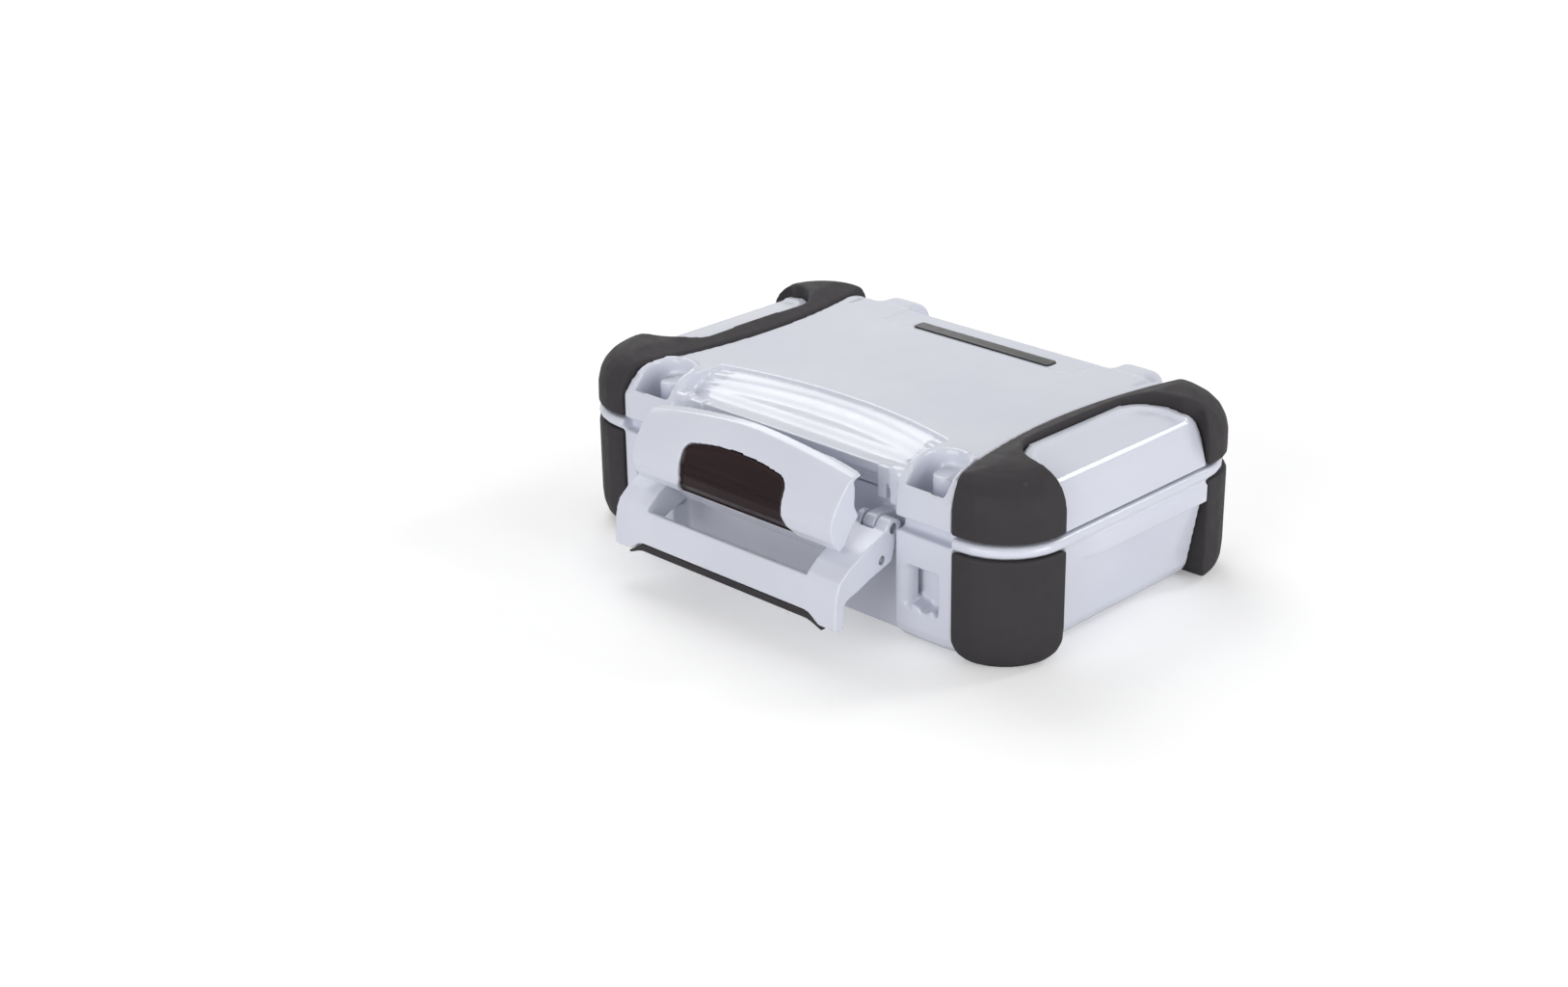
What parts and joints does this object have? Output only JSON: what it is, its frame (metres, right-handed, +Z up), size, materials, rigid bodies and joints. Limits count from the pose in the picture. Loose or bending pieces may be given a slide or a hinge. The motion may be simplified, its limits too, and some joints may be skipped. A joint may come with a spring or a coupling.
{
  "type": "waterproof hard case",
  "caption": "Shut white hard case with dark rubber corner guards, rear hinges and a wide claw latch that hangs open in front of the lid's lip.",
  "frame": {"origin": "middle of the underside of the shut case", "axes": "+Z up, +X to the right along the latch side, +Y from the latch towards the rear hinges"},
  "size_m": [0.17, 0.1322, 0.0546],
  "materials": {
    "shell_plastic": "satin moulded plastic, cool white",
    "corner_rubber": "matte charcoal rubber",
    "pin_steel": "plain steel pin",
    "liner_rubber": "soft dark rubber",
    "pad_foam": "dark foam",
    "seal_rubber": "grey rubber seal",
    "thumb_gloss": "near-black gloss",
    "label_dark": "plain dark label"
  },
  "bodies": {
    "base": {"base_shell": "shell_plastic", "base_bumper_front_left": "corner_rubber", "base_bumper_front_right": "corner_rubber", "base_bumper_rear_left": "corner_rubber", "base_bumper_rear_right": "corner_rubber", "base_liner": "liner_rubber", "hinge_pin_left": "pin_steel", "hinge_pin_right": "pin_steel", "latch_hinge_pin_left": "pin_steel", "latch_hinge_pin_right": "pin_steel"},
    "lid": {"lid_shell": "shell_plastic", "lid_bumper_left": "corner_rubber", "lid_bumper_right": "corner_rubber", "lid_seal": "seal_rubber", "lid_pad": "pad_foam", "label_plate": "label_dark"},
    "lever": {"latch_lever": "shell_plastic", "finger_grip": "corner_rubber", "claw_pin": "pin_steel"},
    "claw": {"latch_claw": "shell_plastic", "thumb_pad": "thumb_gloss"}
  },
  "joints": [
    {"name": "lid_swing", "type": "hinge", "parent": "base", "child": "lid", "pos_m": [0, 0.054, 0.0361], "axis": [-1, 0, 0], "range_deg": [0, 105]},
    {"name": "lever_swing", "type": "hinge", "parent": "base", "child": "lever", "pos_m": [0, -0.052, 0.0325], "axis": [1, 0, 0], "range_deg": [-3, 42]},
    {"name": "claw_swing", "type": "hinge", "parent": "lever", "child": "claw", "pos_m": [0, -0.0565, 0.0247], "axis": [1, 0, 0], "range_deg": [-58.8, 4.2]}
  ],
  "couplings": [
    {"joint": "claw_swing", "follows": "lever_swing", "ratio": -1.4}
  ]
}
